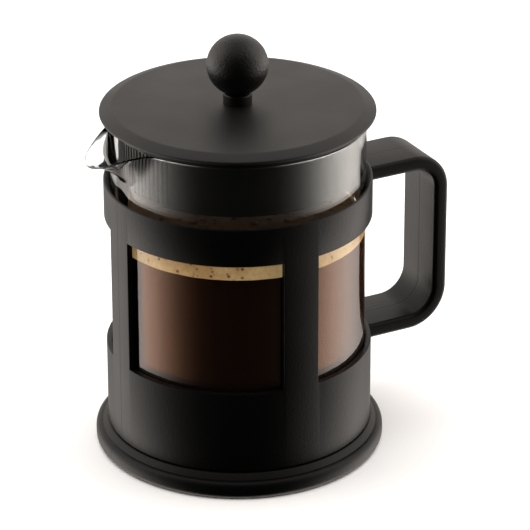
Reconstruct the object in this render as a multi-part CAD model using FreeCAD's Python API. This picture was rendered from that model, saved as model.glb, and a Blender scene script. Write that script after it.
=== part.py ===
import FreeCAD, Part

import math
import os

from FreeCAD import Vector

# Four-cup French press, modelled at rest with the plunger pressed fully down.
# Millimetres. The origin is the centre of the foot's underside, +Z is up,
# the handle points along +X and the beaker's spout along -X.

os.makedirs("parts", exist_ok=True)

# ---------------------------------------------------------------- sizes

# Frame: one moulding of ring, pillars, lower cup and handle.
frame_radius = 50.5
frame_wall = 2.2
frame_bottom_z = 9.4
sill_z = 41.6
window_height = 52.0
ring_height = 14.8
pillar_width = 14.2
ring_edge_radius = 0.6

# Handle: a flat band bent into a D.
handle_width = 24.5
handle_thickness = 5.7
handle_projection = 34.4
handle_below_ring_top = 3.1
handle_below_sill = 8.5
handle_top_corner = 14.5
handle_bottom_corner = 16.0
handle_edge_radius = 1.3

# Foot: a separate moulding that snaps into the bottom of the frame.
flange_overhang = 4.8
flange_height = 6.9
flange_edge_radius = 2.6
foot_floor_thickness = 2.4
foot_seat_inset = 3.6
foot_seat_width = 2.4
foot_seat_height = 3.2
spigot_height = 4.6
spigot_wall = 0.9
spigot_bead = 0.25
spigot_clearance = 0.1

# Glass beaker.
beaker_clearance = 0.3
glass_wall = 2.0
glass_floor = 2.6
beaker_corner = 9.0
beaker_seat_gap = 0.1
rim_above_ring = 23.1
spout_projection = 14.4
spout_tip_radius = 3.4
spout_depth = 16.3
spout_lip_drop = 8.5
spout_root_scale = 0.04

# Lid: a cap over a strainer ring that hangs inside the glass.
lid_overhang = 3.5
lid_edge_height = 2.6
lid_roll_width = 4.7
lid_roll_radius = 0.45
lid_roll_slope = 1.7
lid_dome = 0.6
lid_under_radius = 0.3
lid_rest_gap = 0.15
collar_band_height = 2.9
skirt_clearance = 1.4
skirt_wall = 1.6
skirt_depth = 20.3
strainer_slots = 22
strainer_slot_pitch = 2.65
strainer_slot_width = 1.0
strainer_slot_margin = 1.2
boss_wall = 4.0
boss_depth = 5.4

# Rod guide: a round bush the lid turns on and the rod slides through.
guide_wall = 2.0
guide_collar_overhang = 1.4
guide_collar_height = 4.05
guide_collar_edge = 0.8
guide_lip_overhang = 1.5
guide_lip_height = 1.7
guide_lip_edge = 0.5
running_fit = 0.06
face_gap = 0.05

# Plunger.
rod_radius = 2.0
rod_chamfer = 0.4
knob_radius = 11.5
knob_seat_wall = 0.7
knob_insert_wall = 1.5
knob_insert_length = 9.0
knob_insert_end = 1.0
thread_fit = 0.02
filter_floor_gap = 3.7
hub_wall = 2.2
hub_height = 5.2
cross_plate_thickness = 0.7
cross_plate_gap = 2.6
cross_rim_height = 2.4
cross_ring_width = 6.5
cross_arm_width = 9.0
cross_centre_width = 5.8
screen_thickness = 0.4
screen_edge_gap = 0.4
screen_edge_height = 4.6
eyelet_width = 4.0
eyelet_thickness = 0.5
spiral_plate_thickness = 0.7
spiral_rim_height = 2.4
spiral_hole_radius = 2.3
spiral_hole_pitch = 3.4
spiral_hole_inset = 0.6
spring_coil_radius = 1.6
rod_collar_wall = 1.6
rod_collar_height = 1.6
plunger_stop_gap = 0.8

# ------------------------------------------------------- derived places

frame_inner = frame_radius - frame_wall
window_top_z = sill_z + window_height
ring_top_z = window_top_z + ring_height
handle_reach = frame_radius + handle_projection

beaker_radius = frame_inner - beaker_clearance
glass_inner = beaker_radius - glass_wall
beaker_bottom_z = foot_floor_thickness + foot_seat_height + beaker_seat_gap
rim_z = ring_top_z + rim_above_ring
spout_reach = beaker_radius + spout_projection
foot_seat_outer = beaker_radius - beaker_corner - foot_seat_inset
foot_seat_inner = foot_seat_outer - foot_seat_width

lid_radius = beaker_radius + lid_overhang
lid_flat_radius = lid_radius - lid_roll_width
band_bottom_z = rim_z + lid_rest_gap
cap_under_z = band_bottom_z + collar_band_height
cap_edge_top_z = cap_under_z + lid_edge_height
cap_top_z = cap_edge_top_z + lid_dome
skirt_radius = glass_inner - skirt_clearance
skirt_inner = skirt_radius - skirt_wall
skirt_bottom_z = band_bottom_z - skirt_depth

rod_bore = rod_radius + running_fit
thread_radius = rod_radius + thread_fit
guide_radius = rod_radius + guide_wall
guide_collar_radius = guide_radius + guide_collar_overhang
guide_lip_radius = guide_radius + guide_lip_overhang
boss_radius = guide_radius + boss_wall
boss_bottom_z = cap_under_z - boss_depth
guide_top_z = cap_top_z + face_gap + guide_collar_height
guide_lip_top_z = boss_bottom_z - face_gap
guide_bottom_z = guide_lip_top_z - guide_lip_height

knob_insert_radius = rod_radius + knob_insert_wall
knob_seat_radius = knob_insert_radius + knob_seat_wall
knob_seat_z = guide_top_z + face_gap
knob_centre_z = knob_seat_z + math.sqrt(knob_radius ** 2 - knob_seat_radius ** 2)
knob_insert_top_z = knob_seat_z + knob_insert_length
rod_top_z = knob_insert_top_z - knob_insert_end

hub_radius = rod_radius + hub_wall
cross_centre_radius = hub_radius + cross_centre_width
eyelet_radius = rod_radius + eyelet_width
rod_collar_radius = rod_radius + rod_collar_wall
filter_rest_z = beaker_bottom_z + glass_floor + filter_floor_gap
hub_top_z = filter_rest_z + hub_height
cross_top_z = hub_top_z + cross_plate_thickness
screen_bottom_z = cross_top_z
screen_top_z = screen_bottom_z + screen_thickness
eyelet_top_z = screen_top_z + eyelet_thickness
spiral_top_z = eyelet_top_z + spiral_plate_thickness
collar_top_z = spiral_top_z + rod_collar_height
screen_radius = glass_inner - screen_edge_gap
spring_centre_radius = screen_radius - screen_thickness - spring_coil_radius - face_gap
spring_centre_z = eyelet_top_z + spring_coil_radius + face_gap
spiral_radius = spring_centre_radius - spring_coil_radius - face_gap
cross_radius = screen_radius - cross_plate_gap

up = Vector(0, 0, 1)
origin = Vector(0, 0, 0)


# -------------------------------------------------------------- helpers

def point(radius, z):
    """A point of a half section, in the XZ plane."""
    return Vector(radius, 0, z)


def outline(start, steps):
    """A closed wire from (radius, z) points; a step of two points is an arc through the first."""
    edges = []
    here = point(*start)
    for step in steps:
        if isinstance(step[0], tuple):
            middle, there = point(*step[0]), point(*step[1])
            edges.append(Part.Arc(here, middle, there).toShape())
        else:
            there = point(*step)
            edges.append(Part.makeLine(here, there))
        here = there
    edges.append(Part.makeLine(here, point(*start)))
    return Part.Wire(edges)


def turned(start, steps):
    """A solid of revolution about Z from a half section."""
    return Part.Face(outline(start, steps)).revolve(origin, up, 360)


def tube(outer, inner, z_low, z_high):
    """A plain ring with square edges."""
    height = z_high - z_low
    low = Vector(0, 0, z_low)
    return Part.makeCylinder(outer, height, low).cut(Part.makeCylinder(inner, height, low))


def disc(radius, z_low, z_high):
    return Part.makeCylinder(radius, z_high - z_low, Vector(0, 0, z_low))


def block(x_low, x_high, y_low, y_high, z_low, z_high):
    size = (x_high - x_low, y_high - y_low, z_high - z_low)
    return Part.makeBox(*size, Vector(x_low, y_low, z_low))


def around(shape, angle):
    """A copy of a shape turned about Z."""
    copy = shape.copy()
    copy.rotate(origin, up, angle)
    return copy


def corner_point(centre_x, centre_z, radius, angle):
    """A point on a rounded corner, by the angle of its normal above +X."""
    turn = math.radians(angle)
    return (centre_x + radius * math.cos(turn), centre_z + radius * math.sin(turn))


# ---------------------------------------------------------------- frame

def frame_shell():
    """The ring, pillars and lower cup as one thin tube with four windows."""
    edge = ring_edge_radius
    bevel = edge * (1 - math.sqrt(0.5))
    shell = turned(
        (frame_inner, frame_bottom_z),
        [
            (frame_radius, frame_bottom_z),
            (frame_radius, ring_top_z - edge),
            ((frame_radius - bevel, ring_top_z - bevel), (frame_radius - edge, ring_top_z)),
            (frame_inner, ring_top_z),
        ],
    )
    half = pillar_width / 2
    reach = frame_radius + 1
    window = block(half, reach, half, reach, sill_z, window_top_z)
    for quarter in range(4):
        shell = shell.cut(around(window, 90 * quarter))
    return shell


def spigot_recess():
    """The rebate and snap groove inside the frame's lower edge."""
    outer = frame_inner + spigot_wall + 2 * spigot_clearance
    top = frame_bottom_z + spigot_height + spigot_clearance
    rebate = tube(outer, frame_inner - spigot_wall, frame_bottom_z - 1, top)
    bead_z = frame_bottom_z + spigot_height / 2
    half = spigot_height / 4
    groove = turned(
        (outer - spigot_wall, bead_z - half),
        [(outer, bead_z - half), (outer + spigot_bead, bead_z), (outer, bead_z + half),
         (outer - spigot_wall, bead_z + half)],
    )
    return rebate.fuse(groove)


def handle_band(start_x):
    """A D-shaped band with rounded edges, from start_x out to the grip and back."""
    top = ring_top_z - handle_below_ring_top
    bottom = sill_z - handle_below_sill
    half = handle_width / 2

    def side(inset):
        """The band's outline in XZ, inset by a distance from its outer face."""
        x, high, low = handle_reach - inset, top - inset, bottom + inset
        upper = handle_top_corner - inset
        lower = handle_bottom_corner - inset
        upper_centre = (x - upper, high - upper)
        lower_centre = (x - lower, low + lower)
        wire = outline(
            (start_x, low),
            [
                (lower_centre[0], low),
                (corner_point(*lower_centre, lower, -45), (x, lower_centre[1])),
                (x, upper_centre[1]),
                (corner_point(*upper_centre, upper, 45), (upper_centre[0], high)),
                (start_x, high),
            ],
        )
        wire.translate(Vector(0, -half, 0))
        return Part.Face(wire).extrude(Vector(0, handle_width, 0))

    band = side(0).cut(side(handle_thickness))
    long_edges = []
    for edge in band.Edges:
        ends = [vertex.Point for vertex in edge.Vertexes]
        on_side = all(abs(abs(end.y) - half) < 1e-6 for end in ends)
        leaves_root = any(end.x > start_x + 1e-6 for end in ends)
        if on_side and leaves_root:
            long_edges.append(edge)
    return band.makeFillet(min(handle_edge_radius, 0.45 * handle_thickness), long_edges)


def frame_with_handle():
    root_x = math.sqrt(frame_inner ** 2 - (handle_width / 2) ** 2)
    bore = disc(frame_inner, 0, ring_top_z + 1)
    handle = handle_band(root_x).cut(bore)
    return frame_shell().fuse(handle).cut(spigot_recess()).removeSplitter()


# ----------------------------------------------------------------- foot

def base_foot():
    """The flanged base: a flat floor, a seat ring for the glass and a snap spigot."""
    flange = frame_radius + flange_overhang
    round_ = flange_edge_radius
    bulge = round_ * math.sqrt(0.5)
    cove = frame_bottom_z - flange_height
    spigot = frame_inner + spigot_wall
    floor = foot_floor_thickness
    seat_top = floor + foot_seat_height
    bead_z = frame_bottom_z + spigot_height / 2
    lean = spigot_height / 4
    mid_height = flange_height - round_
    return turned(
        (0, 0),
        [
            (flange - round_, 0),
            ((flange - round_ + bulge, round_ - bulge), (flange, round_)),
            (flange, mid_height),
            ((flange - round_ + bulge, mid_height + bulge), (flange - round_, flange_height)),
            (frame_radius + cove, flange_height),
            ((frame_radius + cove * (1 - math.sqrt(0.5)), frame_bottom_z - cove * math.sqrt(0.5)),
             (frame_radius, frame_bottom_z)),
            (spigot, frame_bottom_z),
            (spigot, bead_z - lean),
            (spigot + spigot_bead, bead_z),
            (spigot, bead_z + lean),
            (spigot, frame_bottom_z + spigot_height),
            (frame_inner, frame_bottom_z + spigot_height),
            (frame_inner, floor),
            (foot_seat_outer, floor),
            (foot_seat_outer, seat_top),
            (foot_seat_inner, seat_top),
            (foot_seat_inner, floor),
            (0, floor),
        ],
    )


# ---------------------------------------------------------------- glass

def spout_wedge(radius, tip_radius, reach, depth, top_z, root):
    """A pinched lip: a rounded V at the top that narrows to a point on the wall."""
    centre = reach - tip_radius
    turn = math.acos((radius - tip_radius) / centre)
    far = Vector(-math.cos(turn), math.sin(turn), 0)
    near = Vector(far.x, -far.y, 0)
    tip = Vector(-centre, 0, 0)

    def section(scale, z):
        """The V, shrunk towards a line on the wall."""
        def place(vector):
            return Vector(vector.x * scale - root * (1 - scale), vector.y * scale, z)

        wall_far, wall_near = place(far * radius), place(near * radius)
        tip_far, tip_near = place(tip + far * tip_radius), place(tip + near * tip_radius)
        nose = place(Vector(-reach, 0, 0))
        return Part.Wire([
            Part.makeLine(wall_far, tip_far),
            Part.Arc(tip_far, nose, tip_near).toShape(),
            Part.makeLine(tip_near, wall_near),
            Part.makeLine(wall_near, wall_far),
        ])

    return Part.makeLoft([section(spout_root_scale, top_z - depth), section(1.0, top_z)], True, True)


def glass_beaker():
    """The beaker: straight wall, rounded heel, pinched spout and a lip that dips to its tip."""
    outer, inner = beaker_radius, glass_inner
    low, heel = beaker_bottom_z, beaker_corner
    floor = low + glass_floor
    inner_heel = heel - glass_wall
    bow = math.sqrt(0.5)
    body = turned(
        (0, low),
        [
            (outer - heel, low),
            ((outer - heel + heel * bow, low + heel - heel * bow), (outer, low + heel)),
            (outer, rim_z),
            (0, rim_z),
        ],
    )
    hollow = turned(
        (0, floor),
        [
            (inner - inner_heel, floor),
            ((inner - inner_heel * (1 - bow), floor + inner_heel * (1 - bow)),
             (inner, floor + inner_heel)),
            (inner, rim_z + 1),
            (0, rim_z + 1),
        ],
    )
    root = outer - glass_wall / 2
    at_tip = 1 - spout_lip_drop / spout_depth * (1 - spout_root_scale)
    full_reach = (spout_reach - root * (1 - at_tip)) / at_tip
    outer_spout = spout_wedge(outer, spout_tip_radius, full_reach, spout_depth, rim_z, root)
    inner_spout = spout_wedge(inner, spout_tip_radius - glass_wall / 2, full_reach - glass_wall,
                              spout_depth - glass_wall / 2, rim_z, root - glass_wall / 2)
    beaker = body.fuse(outer_spout).cut(hollow).cut(inner_spout)

    turn = math.acos((outer - spout_tip_radius) / (full_reach - spout_tip_radius))
    lip_start = outer * math.cos(turn)
    tilt = math.degrees(math.atan2(spout_lip_drop, spout_reach - lip_start))
    above = block(-2 * full_reach, 0, -2 * outer, 2 * outer, 0, full_reach)
    above.rotate(origin, Vector(0, 1, 0), -tilt)
    above.translate(Vector(-lip_start, 0, rim_z))
    return beaker.cut(above).removeSplitter()


# ------------------------------------------------------------------ lid

def lid_cap():
    """The round cap: a slightly domed top, a rolled edge and a boss for the rod guide."""
    bore = guide_radius + running_fit
    under = cap_under_z
    low = lid_under_radius
    low_slack = low * (1 - math.sqrt(0.5))
    roll = lid_roll_radius
    roll_slack = roll * (1 - math.sqrt(0.5))
    roll_top = cap_edge_top_z - lid_roll_slope
    return turned(
        (bore, boss_bottom_z),
        [
            (boss_radius, boss_bottom_z),
            (boss_radius, under),
            (lid_radius - low, under),
            ((lid_radius - low_slack, under + low_slack), (lid_radius, under + low)),
            (lid_radius, roll_top - roll),
            ((lid_radius - roll_slack, roll_top - roll_slack), (lid_radius - roll, roll_top)),
            (lid_flat_radius, cap_edge_top_z),
            (bore, cap_top_z),
        ],
    )


def lid_strainer():
    """The ring under the cap: a band that sits on the rim and a slotted skirt."""
    band = tube(beaker_radius, beaker_radius - skirt_wall, band_bottom_z, cap_under_z)
    web = tube(beaker_radius, skirt_inner, band_bottom_z, band_bottom_z + skirt_wall)
    skirt = tube(skirt_radius, skirt_inner, skirt_bottom_z, cap_under_z)
    ring = band.fuse(web).fuse(skirt).removeSplitter()
    half = strainer_slot_width / 2
    slot_low = skirt_bottom_z + strainer_slot_margin
    slot_high = band_bottom_z - strainer_slot_margin
    slot = block(-skirt_radius - skirt_wall, -skirt_inner + skirt_wall, -half, half,
                 slot_low, slot_high)
    slots = []
    for index in range(strainer_slots):
        angle = (index - (strainer_slots - 1) / 2) * strainer_slot_pitch
        slots.append(around(slot, angle))
    return ring.cut(Part.makeCompound(slots))


def rod_guide():
    """The bush in the lid: a collar the knob rests on, a shank and a retaining lip."""
    collar_low = cap_top_z + face_gap
    edge = guide_collar_edge
    slack = edge * (1 - math.sqrt(0.5))
    return turned(
        (rod_bore, guide_bottom_z),
        [
            (guide_radius, guide_bottom_z),
            (guide_lip_radius, guide_lip_top_z - guide_lip_edge),
            (guide_lip_radius, guide_lip_top_z),
            (guide_radius, guide_lip_top_z),
            (guide_radius, collar_low),
            (guide_collar_radius, collar_low),
            (guide_collar_radius, guide_top_z - edge),
            ((guide_collar_radius - slack, guide_top_z - slack),
             (guide_collar_radius - edge, guide_top_z)),
            (rod_bore, guide_top_z),
        ],
    )


# -------------------------------------------------------------- plunger

def knob():
    ball = Part.makeSphere(knob_radius, Vector(0, 0, knob_centre_z))
    below = disc(knob_radius, knob_centre_z - 2 * knob_radius, knob_seat_z)
    pocket = disc(knob_insert_radius, knob_seat_z, knob_insert_top_z)
    return ball.cut(below).cut(pocket)


def knob_insert():
    """The threaded metal bush moulded into the knob, closed at its top."""
    body = disc(knob_insert_radius, knob_seat_z, knob_insert_top_z)
    return body.cut(disc(thread_radius, knob_seat_z, rod_top_z))


def plunger_rod():
    """The steel rod, with chamfered ends, from the hub up into the knob."""
    chamfer = rod_chamfer
    return turned(
        (0, filter_rest_z),
        [
            (rod_radius - chamfer, filter_rest_z),
            (rod_radius, filter_rest_z + chamfer),
            (rod_radius, rod_top_z - chamfer),
            (rod_radius - chamfer, rod_top_z),
            (0, rod_top_z),
        ],
    )


def cross_hub():
    """The threaded boss that the cross plate is riveted to."""
    return tube(hub_radius, thread_radius, filter_rest_z, hub_top_z)


def cross_plate():
    """The stamped cross: a turned-down rim, an outer ring, four arms and a centre."""
    plate = disc(cross_radius, hub_top_z, cross_top_z)
    window = tube(cross_radius - cross_ring_width, cross_centre_radius, hub_top_z, cross_top_z)
    half = cross_arm_width / 2
    for quarter in range(2):
        arm = block(-cross_radius, cross_radius, -half, half, hub_top_z, cross_top_z)
        window = window.cut(around(arm, 90 * quarter))
    rim = tube(cross_radius, cross_radius - cross_plate_thickness,
               cross_top_z - cross_rim_height, hub_top_z)
    bore = disc(thread_radius, hub_top_z, cross_top_z)
    return plate.cut(window).fuse(rim).cut(bore).removeSplitter()


def filter_screen():
    """The woven steel disc, with its edge turned up around the spring."""
    return turned(
        (thread_radius, screen_bottom_z),
        [
            (screen_radius, screen_bottom_z),
            (screen_radius, screen_bottom_z + screen_edge_height),
            (screen_radius - screen_thickness, screen_bottom_z + screen_edge_height),
            (screen_radius - screen_thickness, screen_top_z),
            (thread_radius, screen_top_z),
        ],
    )


def screen_eyelet():
    """The pressed ring that stiffens the screen's centre hole."""
    return tube(eyelet_radius, thread_radius, screen_top_z, eyelet_top_z)


def spiral_plate():
    """The perforated disc whose raised rim carries the edge spring."""
    plate = disc(spiral_radius, eyelet_top_z, spiral_top_z)
    rim = tube(spiral_radius, spiral_radius - spiral_plate_thickness, spiral_top_z,
               spiral_top_z + spiral_rim_height)
    hole = Part.makeCylinder(spiral_hole_radius, spiral_plate_thickness)
    holes = [disc(thread_radius, eyelet_top_z, spiral_top_z)]
    ring_step = spiral_hole_pitch * spiral_hole_radius
    ring_count = int((spiral_radius - 2 * spiral_hole_radius) / ring_step)
    for ring in range(1, ring_count):
        radius = (ring + spiral_hole_inset) * ring_step
        count = 6 * (ring + 1)
        for index in range(count):
            place = hole.copy()
            place.translate(Vector(radius, 0, eyelet_top_z))
            holes.append(around(place, 360 * index / count))
    return plate.fuse(rim).cut(Part.makeCompound(holes)).removeSplitter()


def edge_spring():
    """The envelope of the fine coil spring that runs around the filter's edge."""
    return Part.makeTorus(spring_centre_radius, spring_coil_radius,
                          Vector(0, 0, spring_centre_z))


def rod_collar():
    """The stop pressed onto the rod above the filter stack."""
    return tube(rod_collar_radius, rod_radius, spiral_top_z, collar_top_z)


# --------------------------------------------------------------- output

nodes = {
    "frame_with_handle": frame_with_handle,
    "base_foot": base_foot,
    "glass_beaker": glass_beaker,
    "lid_cap": lid_cap,
    "lid_strainer": lid_strainer,
    "rod_guide": rod_guide,
    "knob": knob,
    "knob_insert": knob_insert,
    "plunger_rod": plunger_rod,
    "rod_collar": rod_collar,
    "spiral_plate": spiral_plate,
    "edge_spring": edge_spring,
    "filter_screen": filter_screen,
    "screen_eyelet": screen_eyelet,
    "cross_plate": cross_plate,
    "cross_hub": cross_hub,
}

for name, make in nodes.items():
    shape = make()
    shape.exportStep(f"parts/{name}.step")
    box = shape.BoundBox
    print(f"{name}: solids {len(shape.Solids)}, valid {shape.isValid()}, "
          f"volume {shape.Volume:.0f} mm3, z {box.ZMin:.2f} to {box.ZMax:.2f}")

travel = skirt_bottom_z - plunger_stop_gap - max(spiral_top_z + spiral_rim_height,
                                                 spring_centre_z + spring_coil_radius,
                                                 collar_top_z,
                                                 screen_bottom_z + screen_edge_height)
print(f"plunger travel {travel:.1f} mm")
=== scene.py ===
import math
import random

import bmesh
import bpy
from mathutils import Matrix, Vector


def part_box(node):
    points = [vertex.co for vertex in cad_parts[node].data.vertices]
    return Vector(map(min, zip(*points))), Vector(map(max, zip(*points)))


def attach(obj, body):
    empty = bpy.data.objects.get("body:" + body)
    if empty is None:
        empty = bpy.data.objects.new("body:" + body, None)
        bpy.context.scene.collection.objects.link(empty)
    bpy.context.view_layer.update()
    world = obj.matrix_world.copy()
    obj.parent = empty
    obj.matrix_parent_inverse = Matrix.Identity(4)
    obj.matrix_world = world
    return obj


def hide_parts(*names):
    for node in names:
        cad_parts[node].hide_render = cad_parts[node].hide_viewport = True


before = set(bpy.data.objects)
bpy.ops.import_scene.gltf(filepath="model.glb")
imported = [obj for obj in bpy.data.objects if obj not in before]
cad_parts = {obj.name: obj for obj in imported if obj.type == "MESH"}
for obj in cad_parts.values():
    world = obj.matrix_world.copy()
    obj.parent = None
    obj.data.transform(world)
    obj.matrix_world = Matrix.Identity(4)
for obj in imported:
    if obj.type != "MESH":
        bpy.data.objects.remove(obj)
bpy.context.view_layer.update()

MM = 0.001

# ------------------------------------------------- places, from the frame, in millimetres


def span(node):
    """A node's lowest and highest corner in millimetres."""
    low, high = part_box(node)
    return Vector(low) / MM, Vector(high) / MM


frame_low, frame_high = span("frame_with_handle")
foot_low, foot_high = span("base_foot")
glass_low, glass_high = span("glass_beaker")
cap_low, cap_high = span("lid_cap")
strainer_low, strainer_high = span("lid_strainer")
knob_low, knob_high = span("knob")
insert_low, insert_high = span("knob_insert")
spring_low, spring_high = span("edge_spring")

# Frame moulding.
frame_radius = frame_high.y
frame_wall = 2.2
frame_bore = frame_radius - frame_wall
ring_top = frame_high.z
ring_bottom = ring_top - 14.8
sill = ring_bottom - 52.0
pillar_half = 7.1
seam_z = frame_low.z

# Handle, a ribbon with rounded edges.
handle_root = frame_radius - frame_wall * 0.75
handle_reach = frame_high.x
handle_width = 24.5
handle_thickness = 5.7
handle_top = ring_top - 3.1
handle_bottom = sill - 8.5
handle_top_corner = 14.5
handle_bottom_corner = 16.0
handle_edge = 1.5

# Foot: a flange, a cove up to the frame's seam, a spigot in the frame and a seat ring inside.
flange_radius = foot_high.x
flange_height = 6.9
foot_floor = 2.4
seat_inner = 33.0
seat_outer = 35.4
seat_top = glass_low.z - 0.1

# Glass.
glass_radius = glass_high.y
glass_wall = 2.0
glass_bore = glass_radius - glass_wall
glass_floor = 2.6
heel_radius = 9.0
rim_z = glass_high.z

# Pouring lip: its sides lean in to a rounded tip that hangs below the rim.
spout_reach = -glass_low.x
spout_bottom = rim_z - 16.3
spout_drop = 7.2
spout_tip_radius = 10.8
spout_side = math.radians(35)
spout_end = math.radians(38)
spout_fade = math.radians(14)

# Coffee, below a band of foam. Both reach a hair into the glass, so that no air gap shows.
foam_low = 86.7
foam_high = 94.0
wet_radius = glass_bore + 0.06

# Lid and knob.
cap_radius = cap_high.x
cap_under = strainer_high.z
cap_crease_radius = cap_radius - 4.7
cap_crease_z = cap_under + 2.6
cap_dome_radius = 26.0
rod_hole = 4.06
neck_radius = 8.0
knob_radius = knob_high.x
knob_centre = knob_high.z - knob_radius
knob_seat = knob_low.z
insert_pocket = 3.5

# Camera: the object stands with its handle to the right and is seen from a little above the lid.
view_azimuth = math.radians(-27.6)
view_elevation = math.radians(25.2)
towards_camera = Vector((math.sin(view_azimuth), -math.cos(view_azimuth), 0))


# ------------------------------------------------------------------------------ materials

def colour(code):
    """An sRGB hex colour as linear red, green, blue and alpha."""
    channels = [int(code[i:i + 2], 16) / 255 for i in (1, 3, 5)]
    linear = [c / 12.92 if c <= 0.04045 else ((c + 0.055) / 1.055) ** 2.4 for c in channels]
    return (*linear, 1.0)


def add(tree, kind, settings=None, **links):
    """One node: settings are its properties or socket values, links feed its inputs.

    A link is named for its socket, or _3 for the fourth one.
    """
    node = tree.nodes.new(kind)
    for name, value in (settings or {}).items():
        if name in node.inputs:
            node.inputs[name].default_value = value
        else:
            setattr(node, name, value)
    for name, source in links.items():
        key = int(name[1:]) if name[0] == "_" and name[1:].isdigit() else name.replace("_", " ")
        tree.links.new(source, node.inputs[key])
    return node


def new_material(name, settings):
    """A material with one Principled shader; gives its tree, shader and Object coordinates."""
    material = bpy.data.materials.new(name)
    material.use_nodes = True
    tree = material.node_tree
    shader = tree.nodes["Principled BSDF"]
    for socket, value in settings.items():
        shader.inputs[socket].default_value = value
    place = tree.nodes.new("ShaderNodeTexCoord").outputs["Object"]
    return material, tree, shader, place


def per_metre(size_mm):
    """A texture scale whose features are about this many millimetres across."""
    return 1 / (size_mm * MM)


def moulded_black(name, gloss, roughness, grain_mm, grain_depth_mm, dark, light,
                  mould_line=False):
    """Black plastic from a spark-eroded mould: its pebbled grain spreads every highlight.

    The grain is drawn a few times coarser than it is, so that it shows. A mould line is a
    fine ridge where the two halves of the mould meet, in the plane of the handle.
    """
    material, tree, shader, place = new_material(
        name, {"IOR": 1.49, "Specular IOR Level": gloss})
    grain = add(tree, "ShaderNodeTexNoise",
                {"Scale": per_metre(grain_mm), "Detail": 3.0, "Roughness": 0.6}, Vector=place)
    flow = add(tree, "ShaderNodeTexNoise",
               {"Scale": per_metre(22), "Detail": 2.0, "Roughness": 0.5}, Vector=place)
    tone = add(tree, "ShaderNodeMix", {"data_type": "RGBA"}, _0=grain.outputs["Fac"])
    tone.inputs[6].default_value = colour(dark)
    tone.inputs[7].default_value = colour(light)
    tree.links.new(tone.outputs[2], shader.inputs["Base Color"])
    patchy = add(tree, "ShaderNodeMapRange",
                 {"From Min": 0.3, "From Max": 0.7, "To Min": roughness - 0.03,
                  "To Max": roughness + 0.03}, Value=flow.outputs["Fac"])
    tree.links.new(patchy.outputs["Result"], shader.inputs["Roughness"])
    bump = add(tree, "ShaderNodeBump", {"Strength": 1.0, "Distance": grain_depth_mm * MM},
               Height=grain.outputs["Fac"])
    if mould_line:
        side = add(tree, "ShaderNodeSeparateXYZ", Vector=place)
        off = add(tree, "ShaderNodeMath", {"operation": "ABSOLUTE"}, _0=side.outputs["Y"])
        ridge = add(tree, "ShaderNodeMapRange",
                    {"From Min": 0.12 * MM, "From Max": 0.3 * MM, "To Min": 1.0, "To Max": 0.0,
                     "interpolation_type": "SMOOTHSTEP"}, Value=off.outputs[0])
        bump = add(tree, "ShaderNodeBump", {"Strength": 1.0, "Distance": 0.09 * MM},
                   Height=ridge.outputs["Result"], Normal=bump.outputs["Normal"])
    tree.links.new(bump.outputs["Normal"], shader.inputs["Normal"])
    return material


def borosilicate_glass():
    """Clear blown borosilicate: reflections waver a little, and thick edges look greyer."""
    material, tree, shader, place = new_material(
        "borosilicate_glass", {"Base Color": colour("#FCFEFD"), "Roughness": 0.0, "IOR": 1.47,
                               "Transmission Weight": 1.0})
    waver = add(tree, "ShaderNodeTexNoise",
                {"Scale": per_metre(30), "Detail": 1.0}, Vector=place)
    bump = add(tree, "ShaderNodeBump", {"Strength": 0.5, "Distance": 0.05 * MM},
               Height=waver.outputs["Fac"])
    tree.links.new(bump.outputs["Normal"], shader.inputs["Normal"])
    body = add(tree, "ShaderNodeVolumeAbsorption", {"Color": colour("#B4BAB8"), "Density": 90.0})
    tree.links.new(body.outputs["Volume"], tree.nodes["Material Output"].inputs["Volume"])
    return material


def black_coffee():
    """Brewed coffee: nearly black, with a brown glow where it mirrors a bright panel."""
    material, tree, shader, place = new_material(
        "black_coffee", {"IOR": 1.6, "Roughness": 0.22, "Specular IOR Level": 1.0,
                         "Specular Tint": colour("#E4862F"), "Sheen Weight": 0.35,
                         "Sheen Roughness": 0.35, "Sheen Tint": colour("#D08848")})
    cloud = add(tree, "ShaderNodeTexNoise",
                {"Scale": per_metre(14), "Detail": 4.0}, Vector=place)
    tone = add(tree, "ShaderNodeMix", {"data_type": "RGBA"}, _0=cloud.outputs["Fac"])
    tone.inputs[6].default_value = colour("#160C07")
    tone.inputs[7].default_value = colour("#1E120B")
    tree.links.new(tone.outputs[2], shader.inputs["Base Color"])
    return material


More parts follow.
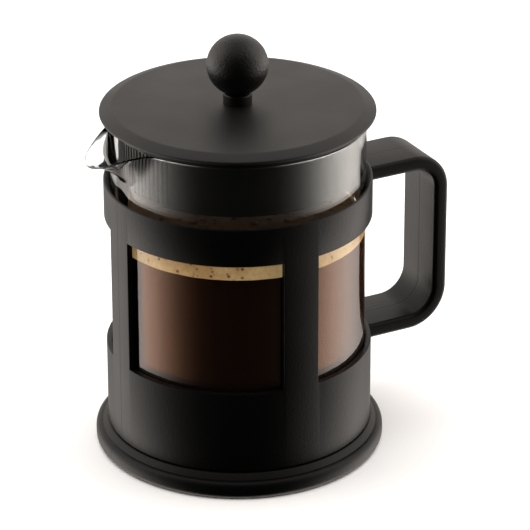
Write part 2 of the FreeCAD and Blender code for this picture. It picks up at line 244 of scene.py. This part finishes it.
def coffee_foam():
    """Crema: tan froth with fine bubbles and a few brown spots.

    The edge against the glass has a painted glow (emission) for light scattered through the
    froth, dimmed by painted shade under the frame's ring. The top, away from the glass, is
    browner.
    """
    material, tree, shader, place = new_material("coffee_foam", {"IOR": 1.33, "Roughness": 0.6})
    fine = add(tree, "ShaderNodeTexNoise",
               {"Scale": per_metre(1.6), "Detail": 5.0, "Roughness": 0.65}, Vector=place)
    broad = add(tree, "ShaderNodeTexNoise",
                {"Scale": per_metre(12), "Detail": 2.0}, Vector=place)
    base = add(tree, "ShaderNodeMix", {"data_type": "RGBA"}, _0=fine.outputs["Fac"])
    base.inputs[6].default_value = colour("#C99550")
    base.inputs[7].default_value = colour("#F2D6A2")
    warm = add(tree, "ShaderNodeMapRange",
               {"From Min": 0.45, "From Max": 0.75, "To Min": 0.0, "To Max": 0.6},
               Value=broad.outputs["Fac"])
    streaked = add(tree, "ShaderNodeMix", {"data_type": "RGBA"}, _0=warm.outputs["Result"])
    tree.links.new(base.outputs[2], streaked.inputs[6])
    streaked.inputs[7].default_value = colour("#A87238")
    cells = add(tree, "ShaderNodeTexVoronoi", {"Scale": per_metre(2.6)}, Vector=place)
    spots = add(tree, "ShaderNodeMapRange",
                {"From Min": 0.14, "From Max": 0.3, "To Min": 1.0, "To Max": 0.0},
                Value=cells.outputs["Distance"])
    rare = add(tree, "ShaderNodeMapRange",
               {"From Min": 0.46, "From Max": 0.52, "To Min": 0.0, "To Max": 0.9},
               Value=broad.outputs["Fac"])
    mask = add(tree, "ShaderNodeMath", {"operation": "MULTIPLY"},
               _0=spots.outputs["Result"], _1=rare.outputs["Result"])
    spotted = add(tree, "ShaderNodeMix", {"data_type": "RGBA"}, _0=mask.outputs[0])
    tree.links.new(streaked.outputs[2], spotted.inputs[6])
    spotted.inputs[7].default_value = colour("#6A4526")
    flat = add(tree, "ShaderNodeVectorMath", {"operation": "MULTIPLY"}, _0=place)
    flat.inputs[1].default_value = (1, 1, 0)
    radius = add(tree, "ShaderNodeVectorMath", {"operation": "LENGTH"}, _0=flat.outputs[0])
    against_glass = add(tree, "ShaderNodeMapRange",
                        {"From Min": (glass_bore - 2.0) * MM, "From Max": (glass_bore - 0.4) * MM,
                         "To Min": 0.0, "To Max": 1.0}, Value=radius.outputs["Value"])
    wetted = add(tree, "ShaderNodeMix", {"data_type": "RGBA"}, _0=against_glass.outputs["Result"])
    wetted.inputs[6].default_value = colour("#6E5236")
    tree.links.new(spotted.outputs[2], wetted.inputs[7])
    tree.links.new(wetted.outputs[2], shader.inputs["Base Color"])
    # Painted glow: the foam emits its own colour where it meets the glass.
    tree.links.new(wetted.outputs[2], shader.inputs["Emission Color"])
    height = add(tree, "ShaderNodeSeparateXYZ", Vector=place)
    # Painted shade under the frame's ring: the painted glow is weaker from just below the ring
    # upward.
    painted_ring_shade = add(tree, "ShaderNodeMapRange",
                 {"From Min": (ring_bottom - 2.5) * MM, "From Max": ring_bottom * MM,
                  "To Min": 0.36, "To Max": 0.1}, Value=height.outputs["Z"])
    glow = add(tree, "ShaderNodeMath", {"operation": "MULTIPLY"},
               _0=against_glass.outputs["Result"], _1=painted_ring_shade.outputs["Result"])
    tree.links.new(glow.outputs[0], shader.inputs["Emission Strength"])
    bump = add(tree, "ShaderNodeBump", {"Strength": 0.6, "Distance": 0.25 * MM},
               Height=fine.outputs["Fac"])
    tree.links.new(bump.outputs["Normal"], shader.inputs["Normal"])
    return material


def steel(name, roughness, brush_mm, tint):
    """Stainless steel: long, fine marks from drawing or stamping blur what it mirrors."""
    material, tree, shader, place = new_material(
        name, {"Metallic": 1.0, "Roughness": roughness})
    stretch = add(tree, "ShaderNodeMapping", Vector=place)
    stretch.inputs["Scale"].default_value = (1, 1, 0.1)
    marks = add(tree, "ShaderNodeTexNoise",
                {"Scale": per_metre(brush_mm), "Detail": 3.0}, Vector=stretch.outputs["Vector"])
    tone = add(tree, "ShaderNodeMix", {"data_type": "RGBA"}, _0=marks.outputs["Fac"])
    tone.inputs[6].default_value = colour(tint)
    tone.inputs[7].default_value = colour("#D8D8D6")
    tree.links.new(tone.outputs[2], shader.inputs["Base Color"])
    bump = add(tree, "ShaderNodeBump", {"Strength": 0.4, "Distance": 0.02 * MM},
               Height=marks.outputs["Fac"])
    tree.links.new(bump.outputs["Normal"], shader.inputs["Normal"])
    return material


def woven_steel():
    """Plain-woven stainless screen: two crossing sets of wires, drawn at 0.8 mm to show."""
    material, tree, shader, place = new_material(
        "woven_steel_screen", {"Metallic": 1.0, "Roughness": 0.35})
    wires = []
    for direction in ("X", "Y"):
        wires.append(add(tree, "ShaderNodeTexWave",
                         {"bands_direction": direction, "Scale": per_metre(0.8) / 20 * math.pi},
                         Vector=place))
    weave = add(tree, "ShaderNodeMath", {"operation": "MAXIMUM"},
                _0=wires[0].outputs["Fac"], _1=wires[1].outputs["Fac"])
    tone = add(tree, "ShaderNodeMix", {"data_type": "RGBA"}, _0=weave.outputs[0])
    tone.inputs[6].default_value = colour("#4C4B48")
    tone.inputs[7].default_value = colour("#C9C8C4")
    tree.links.new(tone.outputs[2], shader.inputs["Base Color"])
    bump = add(tree, "ShaderNodeBump", {"Strength": 1.0, "Distance": 0.15 * MM},
               Height=weave.outputs[0])
    tree.links.new(bump.outputs["Normal"], shader.inputs["Normal"])
    return material


def turned_brass():
    """Turned brass: fine marks from the tool give it a soft, uneven shine."""
    material, tree, shader, place = new_material(
        "turned_brass", {"Metallic": 1.0, "Roughness": 0.3})
    rings = add(tree, "ShaderNodeTexNoise", {"Scale": per_metre(0.6)}, Vector=place)
    tone = add(tree, "ShaderNodeMix", {"data_type": "RGBA"}, _0=rings.outputs["Fac"])
    tone.inputs[6].default_value = colour("#A98545")
    tone.inputs[7].default_value = colour("#D9B870")
    tree.links.new(tone.outputs[2], shader.inputs["Base Color"])
    return material


def pale_floor():
    """A matt white studio sweep with the faintest mottling.

    Mirror images look past it, so that the glass and the coffee show the soft panels.
    """
    material, tree, shader, place = new_material("pale_floor", {"Roughness": 0.9, "IOR": 1.3})
    mottle = add(tree, "ShaderNodeTexNoise", {"Scale": 3.0}, Vector=place)
    tone = add(tree, "ShaderNodeMix", {"data_type": "RGBA"}, _0=mottle.outputs["Fac"])
    tone.inputs[6].default_value = colour("#FAFAFA")
    tone.inputs[7].default_value = colour("#FDFDFD")
    tree.links.new(tone.outputs[2], shader.inputs["Base Color"])
    path = add(tree, "ShaderNodeLightPath")
    mirrored = add(tree, "ShaderNodeMath", {"operation": "GREATER_THAN"},
                   _0=path.outputs["Glossy Depth"])
    mirrored.inputs[1].default_value = 0.5
    clear = add(tree, "ShaderNodeBsdfTransparent")
    either = add(tree, "ShaderNodeMixShader", _0=mirrored.outputs[0], _1=shader.outputs[0],
                 _2=clear.outputs[0])
    tree.links.new(either.outputs[0], tree.nodes["Material Output"].inputs["Surface"])
    return material


frame_plastic = moulded_black(
    "moulded_polypropylene", gloss=0.17, roughness=0.34, grain_mm=0.9, grain_depth_mm=0.08,
    dark="#050505", light="#0A0A0A", mould_line=True)
lid_plastic = moulded_black(
    "satin_lid_plastic", gloss=0.42, roughness=0.46, grain_mm=0.8, grain_depth_mm=0.05,
    dark="#060606", light="#0C0C0B")
knob_plastic = moulded_black(
    "grained_knob_plastic", gloss=0.36, roughness=0.38, grain_mm=0.9, grain_depth_mm=0.2,
    dark="#040404", light="#080808")
matt_plastic = moulded_black(
    "matt_strainer_plastic", gloss=0.26, roughness=0.45, grain_mm=1.2, grain_depth_mm=0.008,
    dark="#040404", light="#080808")
glass = borosilicate_glass()
coffee = black_coffee()
foam = coffee_foam()
drawn_steel = steel("drawn_steel", roughness=0.22, brush_mm=0.4, tint="#B9B9B7")
stamped_steel = steel("stamped_steel", roughness=0.32, brush_mm=0.8, tint="#A9A9A6")
screen_steel = woven_steel()
brass = turned_brass()


# ------------------------------------------------------------------------- making pieces

sharp_edge = math.radians(35)


def keep_piece(mesh, name, material, body, stands_for=()):
    """Turns a bmesh into a smooth-shaded piece that rides on a body."""
    for face in mesh.faces:
        face.smooth = True
    for edge in mesh.edges:
        if len(edge.link_faces) == 2 and edge.calc_face_angle() > sharp_edge:
            edge.smooth = False
    data = bpy.data.meshes.new(name)
    mesh.to_mesh(data)
    mesh.free()
    piece = bpy.data.objects.new(name, data)
    bpy.context.scene.collection.objects.link(piece)
    data.materials.append(material)
    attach(piece, body)
    if stands_for:
        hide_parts(*stands_for)
    return piece


def half_section(outline, closed, round_steps=6):
    """A bmesh with one outline in XZ, in millimetres; a third number rounds that corner."""
    mesh = bmesh.new()
    corners = [mesh.verts.new((entry[0] * MM, 0, entry[1] * MM)) for entry in outline]
    links = list(zip(corners, corners[1:]))
    if closed:
        links.append((corners[-1], corners[0]))
    for pair in links:
        mesh.edges.new(pair)
    for corner, entry in zip(corners, outline):
        if len(entry) > 2:
            bmesh.ops.bevel(mesh, geom=[corner], offset=entry[2] * MM, offset_type="OFFSET",
                            segments=round_steps, profile=0.5, affect="VERTICES", material=-1)
    return mesh


def lathe(outline, steps=160, closed=False, round_steps=6):
    """A bmesh turned about Z. An open outline starts and ends on the axis."""
    mesh = half_section(outline, closed, round_steps)
    bmesh.ops.spin(mesh, geom=mesh.verts[:] + mesh.edges[:], axis=(0, 0, 1), cent=(0, 0, 0),
                   angle=2 * math.pi, steps=steps, use_merge=True)
    bmesh.ops.remove_doubles(mesh, verts=mesh.verts[:], dist=1e-7)
    bmesh.ops.recalc_face_normals(mesh, faces=mesh.faces[:])
    return mesh


# ---------------------------------------------------------------------------------- frame

def frame_wall_piece():
    """The windowed tube: ring, four straight-sided pillars and the lower cup."""
    chamfer = 1.5
    mesh = lathe([(frame_bore, seam_z, 0.2), (frame_radius, seam_z, 0.25),
                  (frame_radius, ring_top, 0.5),
                  (frame_bore + chamfer, ring_top, 0.2),
                  (frame_bore, ring_top - chamfer, 0.3)], steps=192, closed=True)
    cuts = [((0, 0, sill), (0, 0, 1)), ((0, 0, ring_bottom), (0, 0, 1))]
    for sign in (-1, 1):
        cuts.append(((sign * pillar_half, 0, 0), (1, 0, 0)))
        cuts.append(((0, sign * pillar_half, 0), (0, 1, 0)))
    for spot, normal in cuts:
        bmesh.ops.bisect_plane(mesh, geom=mesh.verts[:] + mesh.edges[:] + mesh.faces[:],
                               plane_co=Vector(spot) * MM, plane_no=normal, dist=1e-7)
    opened = []
    for face in mesh.faces:
        x, y, z = face.calc_center_median() / MM
        if abs(x) > pillar_half and abs(y) > pillar_half and sill < z < ring_bottom:
            opened.append(face)
    bmesh.ops.delete(mesh, geom=opened, context="FACES")
    for across in (-1, 1):
        for along in (-1, 1):
            edges = []
            for edge in mesh.edges:
                middle = (edge.verts[0].co + edge.verts[1].co) / 2
                if edge.is_boundary and middle.x * across > 0 and middle.y * along > 0:
                    edges.append(edge)
            bmesh.ops.bridge_loops(mesh, edges=edges)
    bmesh.ops.recalc_face_normals(mesh, faces=mesh.faces[:])
    rims = [edge for edge in mesh.edges
            if len(edge.link_faces) == 2 and edge.calc_face_angle() > math.radians(60)]
    bmesh.ops.bevel(mesh, geom=rims, offset=0.22 * MM, offset_type="OFFSET", segments=2,
                    profile=0.5, affect="EDGES", material=-1, clamp_overlap=True)
    return keep_piece(mesh, "frame_moulding", frame_plastic, "frame",
                      ["frame_with_handle"])


def handle_piece():
    """The D-shaped band, moulded with the frame: a ribbon given thickness and soft edges."""
    mesh = half_section([(handle_root, handle_bottom),
                         (handle_reach, handle_bottom, handle_bottom_corner),
                         (handle_reach, handle_top, handle_top_corner),
                         (handle_root, handle_top)],
                        closed=False, round_steps=16)
    half = handle_width / 2 * MM
    bmesh.ops.translate(mesh, verts=mesh.verts[:], vec=(0, -half, 0))
    grown = bmesh.ops.extrude_edge_only(mesh, edges=mesh.edges[:])
    far = [item for item in grown["geom"] if isinstance(item, bmesh.types.BMVert)]
    bmesh.ops.translate(mesh, verts=far, vec=(0, 2 * half, 0))
    bmesh.ops.recalc_face_normals(mesh, faces=mesh.faces[:])
    outward = max(mesh.faces, key=lambda face: face.calc_center_median().x)
    if outward.normal.x < 0:
        bmesh.ops.reverse_faces(mesh, faces=mesh.faces[:])
    bmesh.ops.solidify(mesh, geom=mesh.faces[:], thickness=handle_thickness * MM)
    bmesh.ops.recalc_face_normals(mesh, faces=mesh.faces[:])
    long_edges = []
    for edge in mesh.edges:
        if len(edge.link_faces) == 2 and edge.calc_face_angle() > math.radians(70):
            if max(vert.co.x for vert in edge.verts) > (handle_root + 1) * MM:
                long_edges.append(edge)
    bmesh.ops.bevel(mesh, geom=long_edges, offset=handle_edge * MM, offset_type="OFFSET",
                    segments=5, profile=0.5, affect="EDGES", material=-1, clamp_overlap=True)
    return keep_piece(mesh, "handle_loop", frame_plastic, "frame",
                      ["frame_with_handle"])


def foot_piece():
    """The flanged foot, with the cove that meets the frame's seam."""
    cove = seam_z - flange_height
    spigot = frame_bore + 0.8
    mesh = lathe([(0, 0), (flange_radius, 0, 2.4), (flange_radius, flange_height, 2.8),
                  (frame_radius + cove * 0.9, flange_height, 0.3),
                  (frame_radius + 0.25, seam_z - 0.3, 0.6),
                  (frame_radius - 0.6, seam_z - 0.45), (spigot, seam_z),
                  (spigot, foot_high.z), (frame_bore, foot_high.z),
                  (frame_bore, foot_floor, 1.0),
                  (seat_outer, foot_floor, 0.4), (seat_outer, seat_top, 0.4),
                  (seat_inner, seat_top, 0.4), (seat_inner, foot_floor, 0.4),
                  (0, foot_floor)], steps=192)
    return keep_piece(mesh, "foot_moulding", frame_plastic, "frame",
                      ["base_foot"])


# ---------------------------------------------------------------------------------- glass

def lip_reach(angle):
    """How far the lip stands out of the round rim: a rounded tip and two straight sides."""
    centre = spout_reach - spout_tip_radius
    facing = math.pi / 2 - spout_side
    leaves = math.atan2(spout_tip_radius * math.sin(facing),
                        centre + spout_tip_radius * math.cos(facing))
    if angle < leaves:
        out = centre * math.cos(angle) + math.sqrt(
            spout_tip_radius ** 2 - (centre * math.sin(angle)) ** 2)
    else:
        out = (centre * math.cos(facing) + spout_tip_radius) / math.cos(angle - facing)
    side = out - glass_radius
    soft = 1.2
    joined = (side + math.sqrt(side * side + soft * soft)) / 2
    fade = min(max((spout_end - angle) / spout_fade, 0), 1)
    return joined * fade * fade * (3 - 2 * fade)


def pull_spout(vert):
    """Moves a vertex of the round beaker out into the pinched pouring lip.

    The lip narrows and thins on its way down, and its fire-polished edge is thicker.
    """
    z = vert.co.z / MM
    if z <= spout_bottom:
        return
    rise = (z - spout_bottom) / (rim_z - spout_bottom)
    radius = math.hypot(vert.co.x, vert.co.y) / MM
    angle = math.atan2(vert.co.y, -vert.co.x)
    narrowing = 1 / (0.25 + 0.75 * rise ** 0.6)
    share = lip_reach(abs(angle) * narrowing) / lip_reach(0)
    middle = glass_radius - glass_wall / 2
    bead = 0.15
    polished = min(max((rise - 0.86) / 0.08, 0), 1)
    thickness = 1 - 0.3 * share * (1 - polished) + bead * share * polished
    reach = (spout_reach - glass_radius) * share * rise ** 1.05
    out = middle + (radius - middle) * thickness + reach - bead * share * glass_wall / 2
    drop = spout_drop * share ** 1.6 * rise ** 2
    vert.co = Vector((-math.cos(angle) * out, math.sin(angle) * out, z - drop)) * MM


def beaker_piece():
    """The blown beaker: straight wall, rounded heel, fire-polished rim, pinched spout."""
    under = glass_low.z
    lip_steps = 14
    outer_lip = [(glass_radius, spout_bottom + (rim_z - 1.4 - spout_bottom) * i / lip_steps)
                 for i in range(lip_steps + 1)]
    inner_lip = [(glass_bore, z) for _, z in reversed(outer_lip)]
    outline = [(0, under), (glass_radius, under, heel_radius),
               (glass_radius, 30), (glass_radius, 60), (glass_radius, 95),
               *outer_lip, (glass_radius, rim_z, 0.95), (glass_bore, rim_z, 0.95), *inner_lip,
               (glass_bore, 95), (glass_bore, 60), (glass_bore, 30),
               (glass_bore, under + glass_floor, heel_radius - glass_wall),
               (0, under + glass_floor)]
    mesh = lathe(outline, steps=288, round_steps=8)
    for vert in mesh.verts:
        pull_spout(vert)
    bmesh.ops.recalc_face_normals(mesh, faces=mesh.faces[:])
    piece = keep_piece(mesh, "beaker_glass_shell", glass, "beaker",
                       ["glass_beaker"])
    for edge in piece.data.edges:
        edge.use_edge_sharp = False
    piece.visible_shadow = False
    piece.visible_diffuse = False
    return piece


def coffee_piece():
    """The coffee, filling the beaker up to the foam."""
    bottom = glass_low.z + glass_floor - 0.05
    mesh = lathe([(0, bottom), (wet_radius, bottom, heel_radius - glass_wall),
                  (wet_radius, foam_low), (0, foam_low)], steps=128)
    return keep_piece(mesh, "coffee_fill", coffee, "beaker")


def foam_piece():
    """The crema: a band against the glass with an uneven edge and a lumpy top."""
    dip = 0.5               # the top is this much lower in the middle
    climb = 0.2             # and creeps this far up the glass
    rings = [(wet_radius * share, foam_high - dip * (1 - share))
             for share in (0.97, 0.9, 0.8, 0.65, 0.5, 0.35, 0.2, 0.08)]
    mesh = lathe([(0, foam_low - 0.02), (wet_radius, foam_low - 0.02),
                  (wet_radius, foam_high + climb, 0.5), *rings, (0, foam_high - dip)], steps=256)
    rng = random.Random(4)
    waves = [(rng.uniform(0, 2 * math.pi), rng.randint(3, 40), rng.uniform(0.05, 0.16))
             for _ in range(12)]
    for vert in mesh.verts:
        radius = math.hypot(vert.co.x, vert.co.y) / MM
        angle = math.atan2(vert.co.y, vert.co.x)
        swell = sum(size * math.sin(count * angle + phase + radius * 0.21)
                    for phase, count, size in waves)
        share = radius / wet_radius
        above = (vert.co.z / MM - foam_low) / (foam_high - foam_low)
        vert.co.z += swell * share * (0.12 + 0.5 * above) * MM
    return keep_piece(mesh, "foam_layer", foam, "beaker")


def bubble_pieces():
    """Froth bubbles standing out of the foam's top."""
    rng = random.Random(11)
    mesh = bmesh.new()
    for _ in range(220):
        size = rng.choice((0.5, 0.6, 0.8, 1.1, 1.5))
        radius = (glass_bore - size) * math.sqrt(rng.random())
        angle = rng.uniform(0, 2 * math.pi)
        if radius < 5:
            continue
        place = Matrix.Translation(Vector((radius * math.cos(angle), radius * math.sin(angle),
                                           foam_high - 0.35)) * MM)
        squashed = Matrix.Diagonal((1, 1, 0.6, 1))
        bmesh.ops.create_icosphere(mesh, subdivisions=2, radius=size * MM, matrix=place @ squashed)
    return keep_piece(mesh, "foam_bubbles", foam, "beaker")


# ------------------------------------------------------------------------------------ lid

def cap_piece():
    """The lid's disc: a nearly flat top, a faint crease and a rolled edge."""
    mesh = lathe([(rod_hole, cap_low.z), (neck_radius, cap_low.z, 0.4),
                  (neck_radius, cap_under, 0.6),
                  (cap_radius, cap_under, 0.3), (cap_radius, cap_crease_z - 1.7, 0.45),
                  (cap_crease_radius, cap_crease_z, 0.5),
                  (cap_dome_radius, cap_high.z - 0.2), (rod_hole, cap_high.z)],
                 steps=192, closed=True)
    return keep_piece(mesh, "lid_disc", lid_plastic, "lid", ["lid_cap"])


def knob_piece():
    """The ball knob, with its seat and the pocket for its brass insert."""
    steps = 24
    seat_angle = math.asin((knob_centre - knob_seat) / knob_radius)
    arc = []
    for i in range(steps + 1):
        angle = -seat_angle + (math.pi / 2 + seat_angle) * i / steps
        arc.append((max(knob_radius * math.cos(angle), 0),
                    knob_centre + knob_radius * math.sin(angle)))
    mesh = lathe([(0, insert_high.z), (insert_pocket, insert_high.z),
                  (insert_pocket, knob_seat), *arc], steps=96)
    return keep_piece(mesh, "ball_knob", knob_plastic, "plunger", ["knob"])


# --------------------------------------------------------------------------------- filter

def spring_piece():
    """The fine coil around the filter's edge, one wire wound into a ring."""
    wire = 0.28
    coil = (spring_high.z - spring_low.z) / 2 - wire
    ring = spring_high.y - coil - wire
    middle = (spring_high.z + spring_low.z) / 2
    turns = 150
    per_turn = 10
    curve = bpy.data.curves.new("edge_coil_path", "CURVE")
    curve.dimensions = "3D"
    curve.bevel_depth = wire * MM
    curve.bevel_resolution = 1
    spline = curve.splines.new("POLY")
    spline.points.add(turns * per_turn - 1)
    spline.use_cyclic_u = True
    for index, spot in enumerate(spline.points):
        around = 2 * math.pi * index / (turns * per_turn)
        wound = 2 * math.pi * index / per_turn
        radius = ring + coil * math.cos(wound)
        spot.co = (radius * math.cos(around) * MM, radius * math.sin(around) * MM,
                   (middle + coil * math.sin(wound)) * MM, 1)
    holder = bpy.data.objects.new("edge_coil_path", curve)
    bpy.context.scene.collection.objects.link(holder)
    bpy.context.view_layer.update()
    mesh = bmesh.new()
    mesh.from_mesh(bpy.data.meshes.new_from_object(holder))
    bpy.data.objects.remove(holder)
    bmesh.ops.recalc_face_normals(mesh, faces=mesh.faces[:])
    return keep_piece(mesh, "edge_coil", drawn_steel, "plunger", ["edge_spring"])


# ------------------------------------------------------------------------------ all pieces

frame_wall_piece()
handle_piece()
foot_piece()
beaker_piece()
coffee_piece()
foam_piece()
bubble_pieces()
cap_piece()
knob_piece()
spring_piece()

kept_nodes = {
    "lid_strainer": matt_plastic,
    "rod_guide": matt_plastic,
    "knob_insert": brass,
    "plunger_rod": drawn_steel,
    "rod_collar": drawn_steel,
    "spiral_plate": stamped_steel,
    "filter_screen": screen_steel,
    "screen_eyelet": stamped_steel,
    "cross_plate": stamped_steel,
    "cross_hub": stamped_steel,
}
for node_name, finish in kept_nodes.items():
    node_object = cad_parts[node_name]
    for material_slot in node_object.material_slots:
        material_slot.material = finish


# -------------------------------------------------------------------------- studio and camera

panel_top = 3.5         # the strongest light that the studio ramps can give


def floor():
    """A wide pale disc under the foot. It throws no light up at the object."""
    mesh = bmesh.new()
    bmesh.ops.create_circle(mesh, cap_ends=True, segments=96, radius=8.0)
    data = bpy.data.meshes.new("floor")
    mesh.to_mesh(data)
    mesh.free()
    plane = bpy.data.objects.new("floor", data)
    bpy.context.scene.collection.objects.link(plane)
    data.materials.append(pale_floor())
    plane.visible_diffuse = False


def ramp(tree, source, stops, top):
    """A smooth curve through (position, value) stops, for values up to top."""
    node = add(tree, "ShaderNodeValToRGB", _0=source)
    node.color_ramp.interpolation = "B_SPLINE"
    while len(node.color_ramp.elements) < len(stops):
        node.color_ramp.elements.new(0.5)
    for element, (position, value) in zip(node.color_ramp.elements, stops):
        element.position = position
        element.color = (value / top, value / top, value / top, 1)
    scaled = add(tree, "ShaderNodeMath", {"operation": "MULTIPLY"}, _0=node.outputs["Color"])
    scaled.inputs[1].default_value = top
    return scaled.outputs[0]


def studio_light():
    """Two tall soft panels to the left and right, a white wall behind and darkness in front."""
    world = bpy.data.worlds.new("studio")
    bpy.context.scene.world = world
    world.use_nodes = True
    tree = world.node_tree
    background = tree.nodes["Background"]
    direction = add(tree, "ShaderNodeTexCoord").outputs["Generated"]
    flat = add(tree, "ShaderNodeVectorMath", {"operation": "MULTIPLY"}, _0=direction)
    flat.inputs[1].default_value = (1, 1, 0)
    level = add(tree, "ShaderNodeVectorMath", {"operation": "NORMALIZE"}, _0=flat.outputs[0])
    ahead = add(tree, "ShaderNodeVectorMath", {"operation": "DOT_PRODUCT"}, _0=level.outputs[0])
    ahead.inputs[1].default_value = towards_camera
    turned = add(tree, "ShaderNodeMath", {"operation": "ARCCOSINE"}, _0=ahead.outputs["Value"])
    half_turn = add(tree, "ShaderNodeMath", {"operation": "DIVIDE"}, _0=turned.outputs[0])
    half_turn.inputs[1].default_value = math.pi
    height = add(tree, "ShaderNodeSeparateXYZ", Vector=direction).outputs["Z"]

    def stops(*pairs):
        return [(degrees / 180, value) for degrees, value in pairs]

    below = ramp(tree, half_turn.outputs[0], stops(
        (0, 0.02), (36, 0.02), (52, 0.2), (66, 0.75), (80, 1.95), (96, 3.1), (114, 3.2),
        (130, 1.8), (144, 0.9), (158, 0.45), (168, 0.7), (180, 1.0)), panel_top)
    above = ramp(tree, half_turn.outputs[0], stops(
        (0, 0.02), (34, 0.03), (50, 0.2), (64, 0.7), (80, 1.8), (96, 2.7), (114, 2.0),
        (130, 1.4), (150, 1.15), (180, 1.1)), panel_top)
    rising = add(tree, "ShaderNodeMapRange",
                 {"From Min": -0.1, "From Max": 0.25, "To Min": 0.0, "To Max": 1.0,
                  "interpolation_type": "SMOOTHSTEP"}, Value=height)
    overhead = add(tree, "ShaderNodeMapRange",
                   {"From Min": 0.65, "From Max": 0.97, "To Min": 0.0, "To Max": 1.0,
                    "interpolation_type": "SMOOTHSTEP"}, Value=height)
    walls = add(tree, "ShaderNodeMix", _0=rising.outputs["Result"], _2=below, _3=above)
    strength = add(tree, "ShaderNodeMix", _0=overhead.outputs["Result"], _2=walls.outputs[0])
    strength.inputs[3].default_value = 0.65         # the ceiling
    tree.links.new(strength.outputs[0], background.inputs["Strength"])
    background.inputs["Color"].default_value = colour("#FFF7F0")

    lamp = bpy.data.lights.new("floor_wash", "AREA")
    lamp.shape = "DISK"
    lamp.size = 5.0
    lamp.energy = 130
    wash = bpy.data.objects.new("floor_wash", lamp)
    bpy.context.scene.collection.objects.link(wash)
    wash.location = -towards_camera * 0.5 + Vector((0, 0, 3.5))
    wash.visible_glossy = False


def camera():
    """The catalogue view: a long lens, with the object a little off the middle of the frame."""
    distance = 1.2772
    aim_height = 0.0709
    pan_angle = math.radians(-0.45)
    roll_angle = math.radians(-0.31)
    back = Vector((math.sin(view_azimuth) * math.cos(view_elevation),
                   -math.cos(view_azimuth) * math.cos(view_elevation), math.sin(view_elevation)))
    lens = bpy.data.cameras.new("camera")
    lens.lens = 228.95
    lens.sensor_width = 36
    lens.clip_end = 50
    eye = bpy.data.objects.new("camera", lens)
    bpy.context.scene.collection.objects.link(eye)
    eye.rotation_mode = "QUATERNION"
    look = (-back).to_track_quat("-Z", "Y").to_matrix().to_4x4()
    pan = Matrix.Rotation(pan_angle, 4, "Y")
    roll = Matrix.Rotation(roll_angle, 4, "Z")
    eye.location = Vector((0, 0, aim_height)) + back * distance
    eye.rotation_quaternion = (look @ pan @ roll).to_quaternion()
    bpy.context.scene.camera = eye


floor()
studio_light()
camera()
bpy.context.scene.view_settings.view_transform = "Standard"
